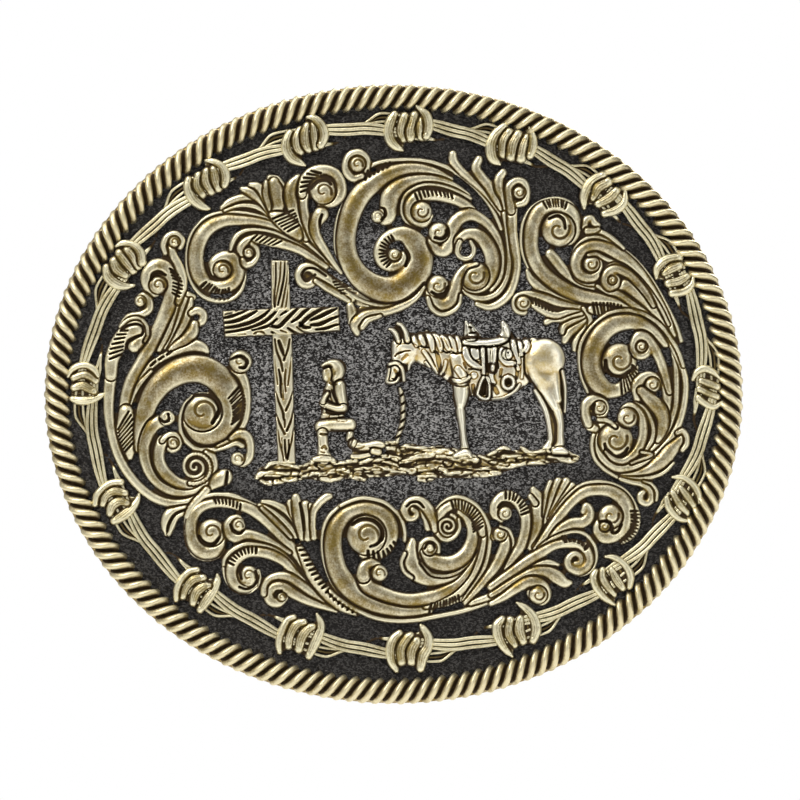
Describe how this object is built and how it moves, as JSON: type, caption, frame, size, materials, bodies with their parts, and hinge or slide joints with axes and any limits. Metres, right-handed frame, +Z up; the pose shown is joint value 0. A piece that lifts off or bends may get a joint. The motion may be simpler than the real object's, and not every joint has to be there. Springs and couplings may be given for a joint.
{
  "type": "belt buckle",
  "caption": "Oval western trophy buckle with rope edge, barbed wire ring, scrollwork, a cross, kneeling rider and saddled horse, with a hinged bail and a stud behind.",
  "frame": {"origin": "centre of the base plate's back face, on the belt line", "axes": "+Z up as worn, +X to the right of someone looking at the face, along the buckle's length, +Y towards the wearer, through the thickness"},
  "size_m": [0.0892, 0.0134, 0.079],
  "materials": {
    "blackened_ground": "blackened, leather-grain stipple on the face, satin on the back",
    "rope_brass": "antique brass, darkened in the grooves and rubbed bright on top",
    "wire_brass": "antique brass, darkened in the grooves and rubbed bright on top",
    "scroll_brass": "antique brass, darkened in the grooves and rubbed bright on top",
    "scene_brass": "antique brass, darkened in the grooves and rubbed bright on top",
    "horse_gold": "polished warm brass",
    "saddle_nickel": "pale polished metal with dark lines",
    "hardware": "satin antique brass"
  },
  "bodies": {
    "buckle": {"base_plate": "blackened_ground", "rope_edge": "rope_brass", "wire_ring": "wire_brass", "barb_01": "wire_brass", "barb_02": "wire_brass", "barb_03": "wire_brass", "barb_04": "wire_brass", "barb_05": "wire_brass", "barb_06": "wire_brass", "barb_07": "wire_brass", "barb_08": "wire_brass", "barb_09": "wire_brass", "barb_10": "wire_brass", "barb_11": "wire_brass", "barb_12": "wire_brass", "barb_13": "wire_brass", "barb_14": "wire_brass", "barb_15": "wire_brass", "barb_16": "wire_brass", "scroll_left": "scroll_brass", "scroll_upper_left": "scroll_brass", "scroll_upper_right": "scroll_brass", "scroll_right": "scroll_brass", "scroll_bottom": "scroll_brass", "ground_strip": "scene_brass", "cross_upright": "scene_brass", "cross_beam": "scene_brass", "kneeling_figure": "scene_brass", "lead_rope": "scene_brass", "horse": "horse_gold", "saddle": "saddle_nickel", "hinge_base": "hardware", "hinge_pin": "hardware", "stud_foot": "hardware", "stud_post": "hardware"},
    "bail": {"bail_loop": "hardware"}
  },
  "joints": [
    {"name": "bail_hinge", "type": "hinge", "parent": "buckle", "child": "bail", "pos_m": [0.019, 0.0046, 0], "axis": [0, 0, 1], "range_deg": [0, 170]}
  ]
}
